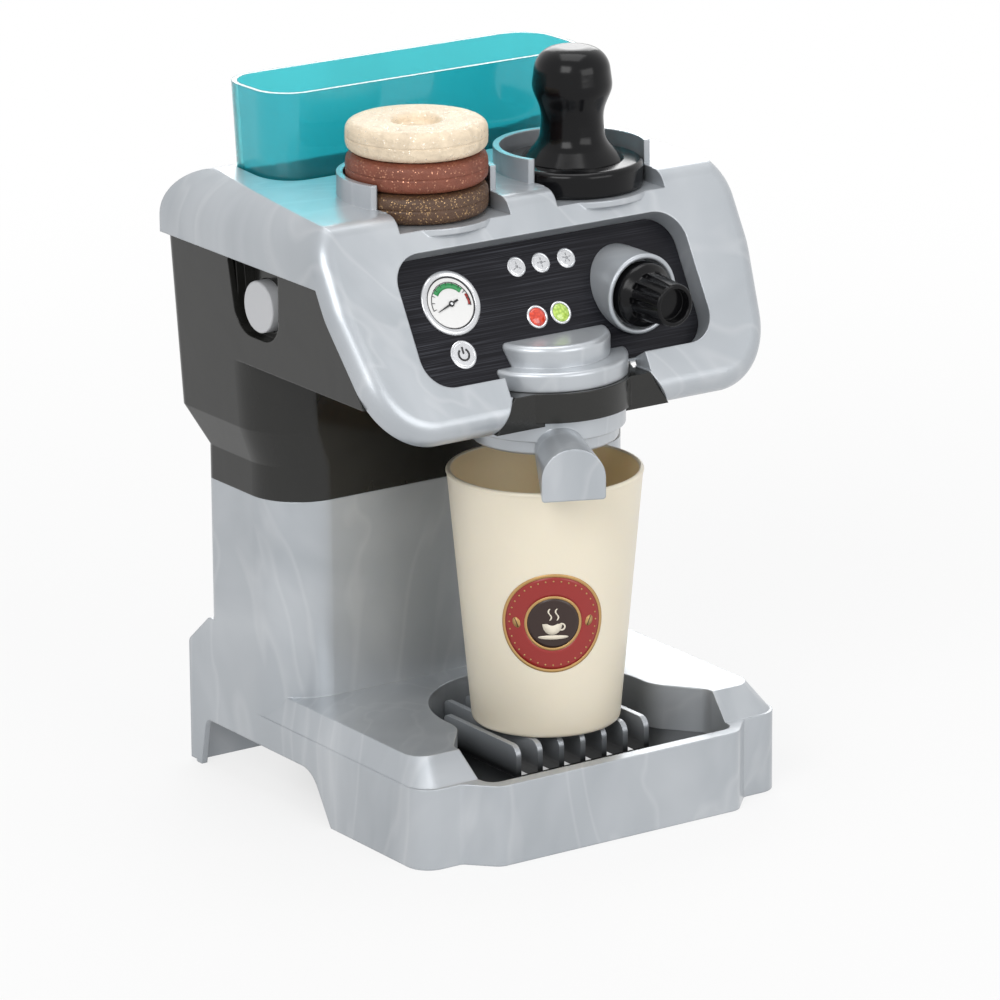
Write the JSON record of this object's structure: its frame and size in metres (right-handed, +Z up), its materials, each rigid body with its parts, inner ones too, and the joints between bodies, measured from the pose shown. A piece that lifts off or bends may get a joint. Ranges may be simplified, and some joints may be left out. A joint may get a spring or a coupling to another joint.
{
  "type": "toy coffee maker",
  "caption": "Toy espresso machine: column base with drip tray, tilted panel with rotary knob, filter holder with handle, lift-out water tank, coffee pads, tamper and cup.",
  "frame": {"origin": "centre of the outline on the floor, under the middle of the machine", "axes": "+Z up, front of the machine towards -Y, +X to its right as seen from the front"},
  "size_m": [0.184, 0.1722, 0.275],
  "materials": {
    "silver_plastic": "pearl silver, satin",
    "black_plastic": "gloss black",
    "panel_print": "brushed black print",
    "tank_plastic": "translucent turquoise",
    "cup_plastic": "cream, satin",
    "pad_cream": "matt, fine grain",
    "pad_red": "matt with glitter",
    "pad_brown": "matt with glitter",
    "grey_plastic": "satin",
    "steel": "plain",
    "tube_plastic": "clear tube"
  },
  "bodies": {
    "machine": {"base_housing": "silver_plastic", "drip_grille": "silver_plastic", "body_housing": "black_plastic", "top_cover": "silver_plastic", "control_panel": "panel_print", "brew_head": "silver_plastic", "group_collar": "black_plastic", "outlet_nozzle": "grey_plastic", "water_tube": "tube_plastic", "valve_block": "grey_plastic", "knob_collar": "silver_plastic", "click_spring": "steel", "button_spring": "steel", "base_screws": "steel", "cover_screws": "steel"},
    "knob": {"rotary_knob": "black_plastic", "click_wheel": "grey_plastic", "knob_screw": "steel"},
    "filter": {"filter_holder": "silver_plastic", "filter_base": "silver_plastic"},
    "cup": {"cup": "cup_plastic"},
    "tank": {"water_tank": "tank_plastic"},
    "pad_bottom": {"pad_brown": "pad_brown"},
    "pad_middle": {"pad_red": "pad_red"},
    "pad_top": {"pad_cream": "pad_cream"},
    "tamper": {"tamper_disc": "black_plastic", "tamper_handle": "black_plastic"},
    "button": {"side_button": "grey_plastic"}
  },
  "joints": [
    {"name": "knob_turn", "type": "hinge", "parent": "machine", "child": "knob", "pos_m": [0.0365, -0.05, 0.191], "axis": [0, -1, 0], "continuous": true},
    {"name": "filter_twist", "type": "hinge", "parent": "machine", "child": "filter", "pos_m": [0, -0.0328, 0.15], "axis": [0, 0, 1], "range_deg": [-21.5, 23.5]},
    {"name": "cup_slide", "type": "slide", "parent": "machine", "child": "cup", "axis": [0, -1, 0], "range_m": [0, 0.09]},
    {"name": "tank_lift", "type": "slide", "parent": "machine", "child": "tank", "axis": [0, 0, 1], "range_m": [0, 0.085]},
    {"name": "pad_bottom_lift", "type": "slide", "parent": "machine", "child": "pad_bottom", "axis": [0, 0, 1], "range_m": [0, 0.05]},
    {"name": "pad_middle_lift", "type": "slide", "parent": "pad_bottom", "child": "pad_middle", "axis": [0, 0, 1], "range_m": [0, 0.04]},
    {"name": "pad_top_lift", "type": "slide", "parent": "pad_middle", "child": "pad_top", "axis": [0, 0, 1], "range_m": [0, 0.04]},
    {"name": "tamper_lift", "type": "slide", "parent": "machine", "child": "tamper", "axis": [0, 0, 1], "range_m": [0, 0.06]},
    {"name": "button_press", "type": "slide", "parent": "machine", "child": "button", "axis": [1, 0, 0], "range_m": [0, 0.003], "stiffness_N_per_m": 300, "springref_m": -0.001, "deforming": ["button_spring"]}
  ]
}
